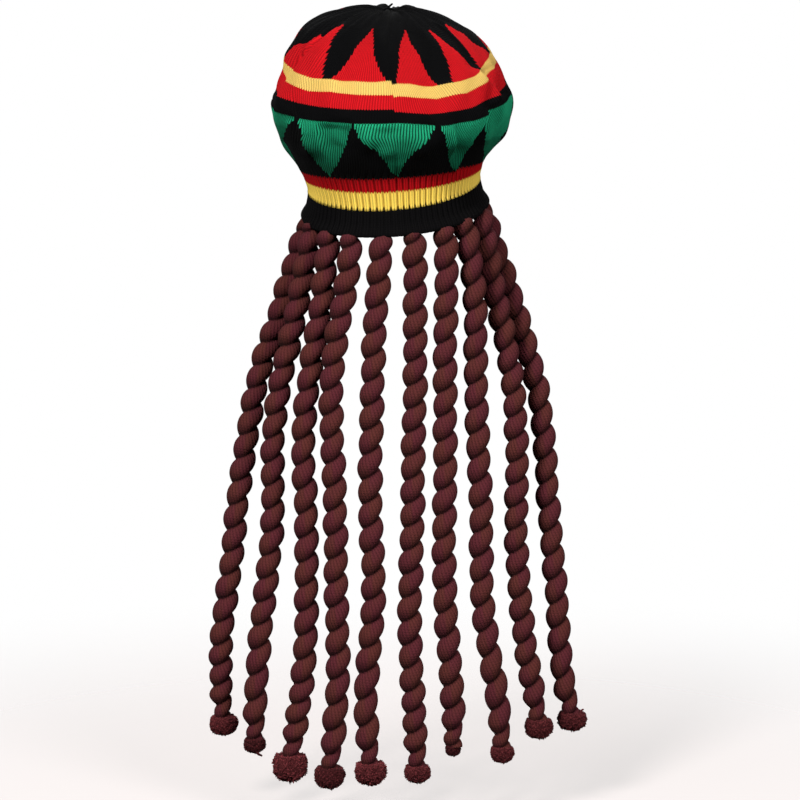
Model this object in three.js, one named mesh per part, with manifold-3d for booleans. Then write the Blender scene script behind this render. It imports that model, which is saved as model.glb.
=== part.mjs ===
// Rasta hat: a slouched knitted tam with a ribbed cuff, and ten long twisted locks that end in pompoms.
// Millimetres, +Z up, -Y is the back of the hat, +X is to the right as seen from the back.
// The origin is the middle of the head opening, in the plane of the cuff's lower edge.
import * as THREE from 'three';
import { mergeVertices } from 'three/addons/utils/BufferGeometryUtils.js';
import Module from 'manifold-3d';

const wasm = await Module();
wasm.setup();

const GAP = 0.3;

// Driving sizes of the cap
const CUFF_WALL = 5;
const RIB_WALL = 4;
const BAG_WALL = 3;
const ROUND_STEPS = 72;
const ROWS_PER_STEP = 2;

// The cap as rings of knitting, from the cuff's edge up to the gather at the top. Each ring is an oval:
// up, across and along place its middle, wide is its half width, back and front its half depths,
// tilt leans its back down and roll lifts its right side, in degrees.
const ring = (name, up, [across, along], [wide, back, front], [tilt, roll]) => (
  { name, up, across, along, wide, back, front, tilt, roll }
);
const RINGS = [
  ring('rim_edge', 0, [0, 0], [84.3, 98, 97], [13.9, 4.2]),
  ring('cuff_top', 22, [-1, 0], [79.5, 95.5, 93], [15, 4.4]),
  ring('rib_top', 34.5, [-2, 0], [82, 96, 92], [12.8, 3.6]),
  ring('red_top', 42, [-3, -1], [85.5, 98, 91], [9.8, 3]),
  ring('bag_low', 54, [-3, -4], [94, 110, 96], [10.5, 2]),
  ring('bag_mid', 68, [-2, -7], [104, 118, 105], [11, 1]),
  ring('bag_wide', 85, [-3, -8], [109.5, 120, 112], [12.3, 0.6]),
  ring('green_top', 100.3, [-4, -8], [110.4, 118, 114], [13.3, 1]),
  ring('red_base', 114.3, [-5, -8], [106.5, 114, 111], [14.5, 1.4]),
  ring('yellow_base', 128.6, [-5, -8], [100.5, 109, 106], [16.4, 1]),
  ring('yellow_top', 140.6, [-6, -8], [94.5, 102, 98], [17.6, 0]),
  ring('spike_mid', 160, [-6, -8], [79, 84, 81], [16.5, -2]),
  ring('spike_tips', 172.4, [-6, -8], [57, 62, 59], [15, -2.5]),
  ring('gather_ring', 180.5, [-4, -8], [27, 29, 27], [12, -2]),
  ring('gather', 179, [-3, -8], [0.5, 0.5, 0.5], [10, 0]),
];
const ringNumber = (name) => RINGS.findIndex((row) => row.name === name);
const CUFF_TOP = ringNumber('cuff_top');
const GATHER = ringNumber('gather');
const GATHER_RING = ringNumber('gather_ring');

// The wall is measured level up to the first of these rings, and square to the cloth from the second
const LEVEL_FROM = CUFF_TOP + 0.1;
const LEVEL_TO = CUFF_TOP + 2;
const THIN_FROM = CUFF_TOP + 3;
const SLOPE_STEP = 0.05;

// Folds and hollows pressed into the bag, in degrees round from the back: where each one crosses its
// lowest ring, how far it leans per ring, its width, its depth (negative bulges out), and its rings.
const FOLDS = [
  { name: 'right_crease', at: 37, lean: 4.2, width: 5, depth: 3.5, from: 'red_top', to: 'yellow_base' },
  { name: 'right_hollow', at: 66, lean: 0, width: 8, depth: 5, from: 'bag_low', to: 'green_top' },
  { name: 'right_crown_crease', at: 68, lean: -3, width: 5, depth: 3, from: 'red_base', to: 'spike_tips' },
  { name: 'left_crown_crease', at: -76, lean: 4, width: 5, depth: 3, from: 'red_base', to: 'spike_tips' },
  { name: 'left_bag_hollow', at: -34, lean: 0, width: 8, depth: 3, from: 'bag_low', to: 'green_top' },
  { name: 'seam_hollow', at: 6, lean: 0, width: 7, depth: 2.5, from: 'bag_low', to: 'green_top' },
  { name: 'left_corner', at: -60, lean: 0, width: 12, depth: -3, from: 'bag_mid', to: 'yellow_top' },
  { name: 'right_corner', at: 55, lean: 0, width: 9, depth: -3, from: 'bag_wide', to: 'yellow_top' },
  { name: 'front_left_hollow', at: -140, lean: 0, width: 10, depth: 4, from: 'bag_low', to: 'yellow_top' },
  { name: 'front_hollow', at: 172, lean: -3, width: 9, depth: 4, from: 'bag_low', to: 'yellow_base' },
  { name: 'front_right_hollow', at: 128, lean: 2, width: 10, depth: 4, from: 'bag_low', to: 'yellow_top' },
];

// Pleats drawn in at the gather
const PLEATS = 18;
const PLEAT_DEPTH = 1.4;
const PLEATS_FROM = GATHER - 3.5;

// Driving sizes of the locks: a thick twisted cord each
const LOCK_THICK = 21;
const LOCK_SIDES = 10;
const LOCK_STEPS = 8;
const LOCK_SPARE = 12;

// The locks from left to right. The route drops in equal steps from top to foot, across holds its
// sideways place at each of them, and along eases from the first to the last value.
const LOCKS = [
  {
    top: -7, foot: -475, along: [-4, -38], ball: [27, 20],
    across: [-81, -90, -101, -111, -123, -131, -137, -142, -147, -150, -154, -159, -162, -162, -160],
  },
  {
    top: -15, foot: -487, along: [-38, -70], ball: [21, 16],
    across: [-75, -81, -88, -95, -103, -109, -112, -112, -112, -115, -119, -123, -126, -128, -129],
  },
  {
    top: -21, foot: -497, along: [-63, -98], ball: [33, 29],
    across: [-59, -63, -67, -73, -78, -82, -83, -81, -80, -80, -80, -81, -84, -89, -95],
  },
  {
    top: -24, foot: -504, along: [-81, -113], ball: [28, 22],
    across: [-39, -42, -48, -54, -57, -57, -55, -54, -53, -53, -52, -51, -52, -55, -59],
  },
  {
    top: -24, foot: -498, along: [-91, -120], ball: [30, 24],
    across: [-12, -14, -17, -19, -20, -21, -22, -22, -21, -19, -20, -23, -26, -25, -22],
  },
  {
    top: -22, foot: -500, along: [-90, -120], ball: [24, 18],
    across: [17, 18, 18, 18, 18, 17, 16, 16, 15, 14, 13, 14, 16, 18, 20],
  },
  {
    top: -17, foot: -482, along: [-78, -112], ball: [14, 12],
    across: [45, 46, 46, 45, 45, 45, 45, 45, 44, 44, 45, 47, 50, 52, 52],
  },
  {
    top: -10, foot: -489, along: [-60, -94], ball: [22, 17],
    across: [62, 68, 72, 73, 73, 74, 75, 77, 78, 78, 79, 83, 89, 94, 97],
  },
  {
    top: -2, foot: -471, along: [-32, -66], ball: [27, 21],
    across: [78, 84, 90, 97, 104, 109, 111, 112, 111, 111, 113, 116, 120, 126, 132],
  },
  {
    top: 5, foot: -472, along: [-4, -34], ball: [28, 20],
    across: [83, 90, 102, 113, 123, 132, 137, 140, 142, 145, 148, 151, 153, 157, 165],
  },
];

// Pompoms: squat balls of cut yarn in uneven tufts, flat where they are tied to the lock's foot
const BALL_AROUND = 14;
const BALL_TIERS = 9;
const TUFT_DEPTH = 0.07;
const TUFTS_ROUND = 5;
const TUFTS_UP = 3;
const TIE_HEIGHT = 0.55;

const { clamp, degToRad: radians, euclideanModulo, lerp, smoothstep } = THREE.MathUtils;

// A smooth curve through one column of the rings, read at a ring number with a fraction
function ringValue(column, at) {
  const low = Math.min(Math.floor(at), RINGS.length - 2);
  const [a, b, c, d] = [-1, 0, 1, 2].map((k) => {
    const number = clamp(low + k, 0, RINGS.length - 1);
    return RINGS[number][column];
  });
  const t = at - low;
  const bend = (2 * a - 5 * b + 4 * c - d) * t * t + (3 * b - a - 3 * c + d) * t * t * t;
  return 0.5 * (2 * b + (c - a) * t + bend);
}

// How far the folds and pleats move the cloth in, at an angle in degrees and a ring number
function foldDepth(degrees, at) {
  let depth = 0;
  for (const fold of FOLDS) {
    const from = ringNumber(fold.from);
    const to = ringNumber(fold.to);
    if (at <= from || at >= to) {
      continue;
    }
    const middle = fold.at + fold.lean * (at - from);
    const away = euclideanModulo(degrees - middle + 180, 360) - 180;
    const fade = Math.sin((Math.PI * (at - from)) / (to - from));
    depth += fold.depth * fade * Math.exp(-((away / fold.width) ** 2));
  }
  const drawn = smoothstep(at, PLEATS_FROM, GATHER_RING) * (1 - Math.max(0, at - GATHER_RING));
  return depth + PLEAT_DEPTH * drawn * Math.cos(radians(degrees * PLEATS));
}

// A point of the cap's cloth, moved in from its outer face by the wall: level at the cuff, and square
// to the cloth above it
function capPoint(degrees, at, wall) {
  const above = Math.min(at + SLOPE_STEP, GATHER);
  const rise = ringValue('up', above) - ringValue('up', at - SLOPE_STEP);
  const spread = ringValue('wide', above) - ringValue('wide', at - SLOPE_STEP);
  const slope = Math.hypot(rise, spread);
  const level = smoothstep(at, LEVEL_FROM, LEVEL_TO);
  const fold = foldDepth(degrees, at);
  const inward = lerp(1, rise / slope, level) * wall + (fold * rise) / slope;
  const down = (-spread / slope) * level * (wall + fold);
  const turn = radians(degrees);
  const deep = ringValue(Math.cos(turn) > 0 ? 'back' : 'front', at) - inward;
  const across = (ringValue('wide', at) - inward) * Math.sin(turn);
  const along = -deep * Math.cos(turn);
  const tilt = radians(ringValue('tilt', at));
  const roll = radians(ringValue('roll', at));
  return new THREE.Vector3(
    ringValue('across', at) + across * Math.cos(roll),
    ringValue('along', at) + along * Math.cos(tilt),
    ringValue('up', at) - down + along * Math.sin(tilt) + across * Math.sin(roll),
  );
}

function wallAt(at) {
  if (at < CUFF_TOP) {
    return lerp(CUFF_WALL, RIB_WALL, at / CUFF_TOP);
  }
  return lerp(RIB_WALL, BAG_WALL, smoothstep(at, CUFF_TOP, THIN_FROM));
}

function ringLoop(at, inner) {
  const loop = [];
  for (let step = 0; step < ROUND_STEPS; step += 1) {
    loop.push(capPoint((360 * step) / ROUND_STEPS, at, inner ? wallAt(at) : 0));
  }
  return loop;
}

// A closed solid from a row of loops with the same number of points, sewn to each other in order. It
// closes on its first loop, or, where poles are given, on a point at each end.
function sewLoops(loops, poles) {
  const round = loops[0].length;
  const points = loops.flat();
  const faces = [];
  const last = loops.length - 1;
  const strips = poles ? last : loops.length;
  for (let row = 0; row < strips; row += 1) {
    const next = (row + 1) % loops.length;
    for (let step = 0; step < round; step += 1) {
      const a = row * round + step;
      const b = row * round + ((step + 1) % round);
      const c = next * round + ((step + 1) % round);
      const d = next * round + step;
      faces.push(a, b, c, a, c, d);
    }
  }
  if (poles) {
    points.push(poles[0], poles[1]);
    for (let step = 0; step < round; step += 1) {
      const after = (step + 1) % round;
      faces.push(points.length - 2, after, step);
      faces.push(points.length - 1, last * round + step, last * round + after);
    }
  }
  const geometry = new THREE.BufferGeometry();
  const numbers = points.flatMap((point) => point.toArray());
  geometry.setAttribute('position', new THREE.Float32BufferAttribute(numbers, 3));
  geometry.setIndex(faces);
  return geometry;
}

function counting(from, to, step) {
  const numbers = [];
  for (let value = from; value < to - step / 2; value += step) {
    numbers.push(value);
  }
  return [...numbers, to];
}

// The bag and its ribbed lower rows: one hollow knitted shell, open at the bottom
function crown() {
  const start = CUFF_TOP + GAP / (RINGS[CUFF_TOP + 1].up - RINGS[CUFF_TOP].up);
  const outerRows = [start, ...counting(CUFF_TOP + 0.5, GATHER - 0.5, 1 / ROWS_PER_STEP)];
  const innerRows = [start, ...counting(CUFF_TOP + 1, GATHER_RING, 1)];
  const inside = innerRows.reverse().map((at) => ringLoop(at, true));
  const outside = outerRows.map((at) => ringLoop(at, false));
  const top = capPoint(0, GATHER, 0);
  const under = top.clone().setZ(top.z - BAG_WALL);
  return sewLoops([...inside, ...outside], [under, top]);
}

// The cuff: a thicker ribbed ring with a soft roll outward at its lower edge
function cuff() {
  const rows = counting(0, CUFF_TOP, 0.25);
  const outside = rows.map((at) => ringLoop(at, false));
  const inside = rows.toReversed().map((at) => ringLoop(at, true));
  return sewLoops([...outside, ...inside], null);
}

function solid(geometry) {
  const plain = geometry.clone();
  plain.deleteAttribute('normal');
  plain.deleteAttribute('uv');
  const merged = mergeVertices(plain, 1e-4);
  return new wasm.Manifold(new wasm.Mesh({
    numProp: 3,
    vertProperties: merged.attributes.position.array,
    triVerts: new Uint32Array(merged.index.array),
  }));
}

function faceted(manifold) {
  const mesh = manifold.getMesh();
  const geometry = new THREE.BufferGeometry();
  geometry.setAttribute('position', new THREE.Float32BufferAttribute(mesh.vertProperties, 3));
  geometry.setIndex([...mesh.triVerts]);
  return geometry;
}

// The route of a lock, from the cuff's edge down to its tied foot
function lockRoute(lock) {
  const steps = lock.across.length - 1;
  return lock.across.map((across, step) => {
    const share = step / steps;
    const along = lerp(lock.along[0], lock.along[1], smoothstep(share, 0, 1));
    return new THREE.Vector3(across, along, lerp(lock.top, lock.foot, share));
  });
}

// The plane of the cuff's lower edge, as a unit vector out of it, upward
function rimNormal() {
  const edge = RINGS[0];
  return new THREE.Vector3(-Math.tan(radians(edge.roll)), -Math.tan(radians(edge.tilt)), 1).normalize();
}

// A lock: a round cord cut to meet the cuff's edge above and its pompom below
function lockBody(lock) {
  const route = lockRoute(lock);
  const longer = [
    route[0].clone().add(new THREE.Vector3(0, 0, LOCK_SPARE)),
    ...route,
    route.at(-1).clone().add(new THREE.Vector3(0, 0, -LOCK_SPARE)),
  ];
  const section = new THREE.Shape();
  for (let side = 0; side < LOCK_SIDES; side += 1) {
    const turn = (2 * Math.PI * side) / LOCK_SIDES;
    const x = (LOCK_THICK / 2) * Math.cos(turn);
    const y = (LOCK_THICK / 2) * Math.sin(turn);
    if (side === 0) {
      section.moveTo(x, y);
    } else {
      section.lineTo(x, y);
    }
  }
  const path = new THREE.CatmullRomCurve3(longer);
  const tube = new THREE.ExtrudeGeometry(section, {
    steps: LOCK_STEPS,
    bevelEnabled: false,
    extrudePath: path,
  });
  const whole = solid(tube);
  const up = rimNormal();
  const underRim = whole.trimByPlane([-up.x, -up.y, -up.z], GAP);
  return faceted(underRim.trimByPlane([0, 0, 1], lock.foot));
}

// A pompom hung from a lock's foot
function pompom(lock, number) {
  const [wide, tall] = lock.ball;
  const foot = lockRoute(lock).at(-1);
  const middle = foot.clone().add(new THREE.Vector3(0, 0, (-TIE_HEIGHT * tall) / 2));
  const loops = [];
  for (let tier = 1; tier < BALL_TIERS; tier += 1) {
    const height = (Math.PI * tier) / BALL_TIERS - Math.PI / 2;
    const loop = [];
    for (let step = 0; step < BALL_AROUND; step += 1) {
      const turn = (2 * Math.PI * step) / BALL_AROUND;
      const round = Math.sin(TUFTS_ROUND * turn + number);
      const tuft = 1 + TUFT_DEPTH * round * Math.sin(TUFTS_UP * height + 2 * turn + number);
      const out = (wide / 2) * Math.cos(height) * tuft;
      const up = (tall / 2) * Math.sin(height) * tuft;
      loop.push(new THREE.Vector3(out * Math.cos(turn), out * Math.sin(turn), up).add(middle));
    }
    loops.push(loop);
  }
  const poles = [-1, 1].map((end) => middle.clone().add(new THREE.Vector3(0, 0, (end * tall) / 2)));
  const ball = solid(sewLoops(loops, poles));
  return faceted(ball.trimByPlane([0, 0, -1], -(foot.z - GAP)));
}

const yarn = (name, color, roughness) => (
  new THREE.MeshStandardMaterial({ name, color, roughness, metalness: 0 })
);
const blackKnit = yarn('black_knit', 0x0e0e10, 0.95);
const tamKnit = yarn('tam_knit', 0xb01c24, 0.9);
const lockKnit = yarn('lock_knit', 0x5a3030, 0.95);
const cutYarn = yarn('cut_yarn', 0x4a2626, 1);

const hat = new THREE.Group();

function add(name, geometry, material) {
  geometry.computeVertexNormals();
  const mesh = new THREE.Mesh(geometry, material);
  mesh.name = name;
  hat.add(mesh);
}

add('crown', crown(), tamKnit);
add('cuff', cuff(), blackKnit);
LOCKS.forEach((lock, place) => {
  const number = String(place + 1).padStart(2, '0');
  add(`lock_${number}`, lockBody(lock), lockKnit);
  add(`pompom_${number}`, pompom(lock, place + 1), cutYarn);
});

export default hat;
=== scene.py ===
import math
from collections import namedtuple

import bpy
import numpy as np
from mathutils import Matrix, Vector


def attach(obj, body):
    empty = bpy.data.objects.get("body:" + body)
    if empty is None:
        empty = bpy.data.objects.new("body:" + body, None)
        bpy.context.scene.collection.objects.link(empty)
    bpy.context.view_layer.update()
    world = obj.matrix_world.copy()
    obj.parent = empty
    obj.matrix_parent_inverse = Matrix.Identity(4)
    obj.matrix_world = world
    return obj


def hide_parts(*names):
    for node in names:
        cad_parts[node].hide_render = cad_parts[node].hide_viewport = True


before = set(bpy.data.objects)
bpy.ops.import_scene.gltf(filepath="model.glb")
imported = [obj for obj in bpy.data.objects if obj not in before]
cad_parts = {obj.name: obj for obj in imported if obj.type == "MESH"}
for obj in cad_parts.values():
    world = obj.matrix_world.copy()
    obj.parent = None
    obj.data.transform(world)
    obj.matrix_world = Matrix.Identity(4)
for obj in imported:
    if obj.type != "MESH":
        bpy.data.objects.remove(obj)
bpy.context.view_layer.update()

# A slouched knitted hat with ten twisted locks. Sizes are in millimetres here, with the frame's axes:
# +Z up, -Y the back of the hat, +X to the right as seen from the back. Meshes are made in metres.
MM = 0.001
SEED = 5
random = np.random.default_rng(SEED)

# Camera at the photograph's viewing angle: two metres behind the hat, level with the cuff's lower edge
# and looking a little down
FOCAL_PIXELS = 2150.0
FRAME_PIXELS = 800.0
SENSOR = 36.0
CAMERA_PLACE = (4.465, -2007.996, -4.077)
CAMERA_PITCH = 5.0
FAR_CLIP = 50

camera_data = bpy.data.cameras.new("camera")
camera_data.sensor_width = SENSOR
camera_data.lens = SENSOR * FOCAL_PIXELS / FRAME_PIXELS
camera_data.clip_end = FAR_CLIP
camera = bpy.data.objects.new("camera", camera_data)
camera.location = [value * MM for value in CAMERA_PLACE]
camera.rotation_euler = (math.radians(90 - CAMERA_PITCH), 0, 0)
bpy.context.collection.objects.link(camera)
bpy.context.scene.camera = camera


# Small helpers

def smoothstep(value, low, high):
    t = np.clip((value - low) / (high - low), 0, 1)
    return t * t * (3 - 2 * t)


def plateau(value, low, full, fall, end):
    """Rises from 0 at low to 1 at full, and falls again from fall to end."""
    return smoothstep(value, low, full) * (1 - smoothstep(value, fall, end))


def lerp(a, b, t):
    return a + (b - a) * t


def catmull(a, b, c, d, t):
    """A smooth curve from b to c, with its neighbours a and d."""
    return 0.5 * (2 * b + (c - a) * t + (2 * a - 5 * b + 4 * c - d) * t**2 + (3 * b - a - 3 * c + d) * t**3)


def turned(angle):
    """An angle brought to -180 to 180 degrees."""
    return (angle + 180) % 360 - 180


def unit(vectors):
    return vectors / np.linalg.norm(vectors, axis=-1)[..., None]


def linear(colour):
    """A colour of 0 to 255 as light values."""
    c = np.asarray(colour, float) / 255
    return np.where(c <= 0.04045, c / 12.92, ((c + 0.055) / 1.055) ** 2.4)


# Meshes: grids of points whose columns close round, row after row

def mesh_piece(name, points, faces, nodes, material):
    """A piece from points in millimetres. It rides on the root and stands for the CAD nodes."""
    mesh = bpy.data.meshes.new(name)
    mesh.from_pydata((np.asarray(points) * MM).tolist(), [], faces)
    mesh.polygons.foreach_set("use_smooth", np.ones(len(mesh.polygons), bool))
    mesh.materials.append(material)
    piece = bpy.data.objects.new(name, mesh)
    bpy.context.collection.objects.link(piece)
    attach(piece, "root")
    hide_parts(*nodes)
    return piece


def quad_corners(rows, columns):
    """The row and the column of each quad's four corners. The last column is followed by the first."""
    row, column = np.meshgrid(np.arange(rows - 1), np.arange(columns), indexing="ij")
    up = np.stack([row, row, row + 1, row + 1], -1).reshape(-1, 4)
    across = np.stack([column, column + 1, column + 1, column], -1).reshape(-1, 4)
    return up, across


def grid_faces(rows, columns):
    up, across = quad_corners(rows, columns)
    return (up * columns + across % columns).tolist()


def grid_map(row_values, columns, wales):
    """Two values for each corner of a grid's quads: the wale, and the value of the row."""
    up, across = quad_corners(len(row_values), columns)
    return np.stack([across * wales / columns, row_values[up]], -1)


def fan(centre, loop):
    """Triangles from a centre point to a closed loop of points."""
    return [[centre, loop[k], loop[(k + 1) % len(loop)]] for k in range(len(loop))]


def capped(points, columns, ends):
    """A grid with its first and last rows closed by a fan to an end point each: points and faces."""
    count = len(points)
    first, last = list(range(columns)), list(range(count - columns, count))
    faces = grid_faces(count // columns, columns) + fan(count, first[::-1]) + fan(count + 1, last)
    return np.concatenate([points, ends]), faces


def joined(points, faces, more_points, more_faces):
    """Two sets of points and faces as one."""
    moved = [[corner + len(points) for corner in face] for face in more_faces]
    return np.concatenate([points, more_points]), faces + moved


def corner_count(faces):
    return sum(len(face) for face in faces)


def corner_colours(piece, colours, contrast):
    """The yarn's colour with its painted shade at each corner of each face, with the strength of its
    stitches' painted shade and highlight as alpha.
    """
    alpha = np.full((len(colours), 1), contrast) if np.isscalar(contrast) else contrast
    layer = piece.data.attributes.new("yarn", "FLOAT_COLOR", "CORNER")
    layer.data.foreach_set("color", np.concatenate([colours, alpha], 1).astype(np.float32).ravel())


def corner_stitches(piece, values):
    """Where each corner of each face lies in the knitting: wale and course."""
    layer = piece.data.uv_layers.new(name="stitch")
    layer.data.foreach_set("uv", np.asarray(values, np.float32).ravel())


# Smooth routes, and round yarn along them
ROUTE_PARTS = 24
YARN_SIDES = 6
YARN_STEP = 0.8
YARN_TAPER = 0.55


def smooth_route(route, step):
    """Points at equal steps on a smooth curve through a route, with their distances down it."""
    ends = np.concatenate([[2 * route[0] - route[1]], route, [2 * route[-1] - route[-2]]])
    t = np.linspace(0, 1, ROUTE_PARTS, endpoint=False)[:, None]
    pieces = [catmull(*ends[k:k + 4], t) for k in range(len(route) - 1)]
    fine = np.concatenate([*pieces, route[-1:]])
    far = np.concatenate([[0], np.cumsum(np.linalg.norm(np.diff(fine, axis=0), axis=1))])
    at = np.linspace(0, far[-1], int(far[-1] / step) + 1)
    return np.stack([np.interp(at, far, fine[:, k]) for k in range(3)], -1), at


def square_to(line):
    """Two directions square to a line and to each other, at each of its points: side and back."""
    ahead = unit(np.gradient(line, axis=0))
    side = unit(np.cross(ahead, (0, 1, 0)))
    return side, np.cross(ahead, side)


def spokes(one, other, turn):
    """Directions round each point, from one through the other, at the given turns."""
    return one[:, None] * np.cos(turn)[None, :, None] + other[:, None] * np.sin(turn)[None, :, None]


def round_turns(count):
    return np.arange(count) * 2 * np.pi / count


def tube(route, thick):
    """A tapered round yarn along a route: points and faces."""
    line, _ = smooth_route(np.array(route, float), thick * YARN_STEP)
    radius = thick / 2 * np.linspace(1, YARN_TAPER, len(line))[:, None, None]
    ring = spokes(*square_to(line), round_turns(YARN_SIDES))
    points = (line[:, None] + ring * radius).reshape(-1, 3)
    return capped(points, YARN_SIDES, line[[0, -1]])


# The cap as rings of knitting, from the cuff's edge up to the gather, as in the part's source:
# up, across, along, wide, back, front, tilt and roll of each ring
RINGS = {
    "rim_edge": (0, 0, 0, 84.3, 98, 97, 13.9, 4.2),
    "cuff_top": (22, -1, 0, 79.5, 95.5, 93, 15, 4.4),
    "rib_top": (34.5, -2, 0, 82, 96, 92, 12.8, 3.6),
    "red_top": (42, -3, -1, 85.5, 98, 91, 9.8, 3),
    "bag_low": (54, -3, -4, 94, 110, 96, 10.5, 2),
    "bag_mid": (68, -2, -7, 104, 118, 105, 11, 1),
    "bag_wide": (85, -3, -8, 109.5, 120, 112, 12.3, 0.6),
    "green_top": (100.3, -4, -8, 110.4, 118, 114, 13.3, 1),
    "red_base": (114.3, -5, -8, 106.5, 114, 111, 14.5, 1.4),
    "yellow_base": (128.6, -5, -8, 100.5, 109, 106, 16.4, 1),
    "yellow_top": (140.6, -6, -8, 94.5, 102, 98, 17.6, 0),
    "spike_mid": (160, -6, -8, 79, 84, 81, 16.5, -2),
    "spike_tips": (172.4, -6, -8, 57, 62, 59, 15, -2.5),
    "gather_ring": (180.5, -4, -8, 27, 29, 27, 12, -2),
    "gather": (179, -3, -8, 0.5, 0.5, 0.5, 10, 0),
}
RING_TABLE = np.array(list(RINGS.values()), float)
UP, ACROSS, ALONG, WIDE, BACK, FRONT, TILT, ROLL = range(8)
NUMBER = {name: k for k, name in enumerate(RINGS)}
CUFF_TOP = NUMBER["cuff_top"]
RIB_TOP = NUMBER["rib_top"]
RED_TOP = NUMBER["red_top"]
GREEN_TOP = NUMBER["green_top"]
RED_BASE = NUMBER["red_base"]
YELLOW_BASE = NUMBER["yellow_base"]
YELLOW_TOP = NUMBER["yellow_top"]
GATHER_RING = NUMBER["gather_ring"]
GATHER = NUMBER["gather"]

# Walls. They are measured level up to the first of these rings and square to the cloth from the
# second, and are thin from the third
CUFF_WALL, RIB_WALL, BAG_WALL = 5.0, 4.0, 3.0
GAP = 0.3
LEVEL_FROM, LEVEL_TO = CUFF_TOP + 0.1, CUFF_TOP + 2
THIN_FROM = CUFF_TOP + 3
SLOPE_STEP = 0.05

# Folds and hollows of the bag, as in the part's source: degrees from the back, lean per ring, width,
# depth, first ring and last ring
FOLDS = [
    (37, 4.2, 5, 3.5, "red_top", "yellow_base"),
    (66, 0, 8, 5, "bag_low", "green_top"),
    (68, -3, 5, 3, "red_base", "spike_tips"),
    (-76, 4, 5, 3, "red_base", "spike_tips"),
    (-34, 0, 8, 3, "bag_low", "green_top"),
    (6, 0, 7, 2.5, "bag_low", "green_top"),
    (-60, 0, 12, -3, "bag_mid", "yellow_top"),
    (55, 0, 9, -3, "bag_wide", "yellow_top"),
    (-140, 0, 10, 4, "bag_low", "yellow_top"),
    (172, -3, 9, 4, "bag_low", "yellow_base"),
    (128, 2, 10, 4, "bag_low", "yellow_top"),
]
PLEATS = 18
PLEAT_DEPTH = 1.4
PLEATS_FROM = GATHER - 3.5
# Sharp creases over those folds: ring numbers and degrees along the line, the side on which the cloth
# tucks in (1 is right), the lip's height, the tuck's depth and its width in degrees
CREASES = [
    ((2.8, 3.4, 3.9, 4.6, 5.4, 6, 6.4, 6.8, 7.4), (41, 42, 43.5, 43.5, 43.5, 46.5, 49, 51, 54),
     1, 3.2, 8.5, 5),
    ((9.9, 10.2, 10.4, 10.8, 11.3, 12, 12.8), (-70, -69.5, -68, -61.5, -59, -56.5, -52), 1, 1.5, 3.4, 2.5),
    ((9.9, 10.3, 10.6, 11, 11.6, 12, 12.7), (63, 61.5, 60, 59, 58, 59, 57), -1, 1.6, 2.6, 4),
    ((7, 7.7, 8.4, 9, 9.5, 10), (67, 65, 62, 60, 60, 62), 1, 1.6, 3.0, 5),
    ((5.2, 6, 6.8, 7.4), (-20, -18.5, -17.5, -17), -1, 1.0, 2.5, 4),
    ((5.6, 6.4, 7.2), (24, 22.5, 21), -1, 0.8, 2.5, 4),
    ((4.4, 5.4, 6.5, 7.3), (-50, -47.5, -48, -49), -1, 1.5, 4.0, 5),
    ((3.6, 4.6, 5.8, 6.9), (36, 34, 31, 28.5), 1, 1.8, 3.6, 2.6),
    ((4.2, 5.2, 6.2, 6.9), (-40, -39, -38, -37), 1, 0.8, 5.0, 8),
    ((4.6, 5.4, 6.2, 6.8), (-11, -10, -9, -9), 1, 0.8, 3.0, 5),
    ((7.2, 8, 9, 9.8, 10.4), (-31, -29, -30, -31, -32), 1, 0.6, 1.4, 4),
    ((6.9, 7.6, 8.4, 9.2, 10), (24, 27, 27, 25, 24), -1, 0.8, 1.8, 5),
    ((7, 8, 8.8, 10.2), (-68, -68, -68, -68), -1, 0, 3.5, 16),
]
# How much faster the lip falls off on its tucked side
LIP_FALL = 5
# Shallow waves in the cloth: depth, turns round the cap, turns per ring, and start. Then the rings
# between which they grow and fade
WAVES = [(0.7, 7, 0.21, 0.3), (0.6, 11, -0.17, 0.8), (0.5, 17, 0.32, 0.1), (0.4, 23, -0.4, 0.55)]
WAVE_RINGS = (3.2, 5, 11, 13)
# The bag's underside is drawn in at the back: depth, the rings between which it grows and fades, and
# its half width in degrees
UNDERCUT = 5.0
UNDERCUT_RINGS = (2.9, 4.3, 4.3, 6.2)
UNDERCUT_WIDE = 58
# Fine puckers round the gather: depth and number round, and the rings between which they grow and fade
PUCKERS = [(0.8, 11), (0.6, 27), (0.5, 41)]
PUCKER_RINGS = (10.8, 12.6, 13.1, 13.9)


def ring_value(column, at):
    low = np.clip(np.floor(at).astype(int), 0, GATHER - 1)
    a, b, c, d = (RING_TABLE[np.clip(low + k, 0, GATHER), column] for k in (-1, 0, 1, 2))
    return catmull(a, b, c, d, at - low)


def fold_depth(degrees, at):
    """How far the folds and pleats of the part's source move the cloth in."""
    depth = np.zeros(np.broadcast(degrees, at).shape)
    for middle, lean, width, deep, first, last in FOLDS:
        first, last = NUMBER[first], NUMBER[last]
        away = turned(degrees - middle - lean * (at - first))
        fade = np.sin(np.pi * np.clip((at - first) / (last - first), 0, 1))
        depth += deep * fade * np.exp(-((away / width) ** 2))
    drawn = smoothstep(at, PLEATS_FROM, GATHER_RING) * (1 - np.maximum(0, at - GATHER_RING))
    return depth + PLEAT_DEPTH * drawn * np.cos(np.radians(degrees * PLEATS))


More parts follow.
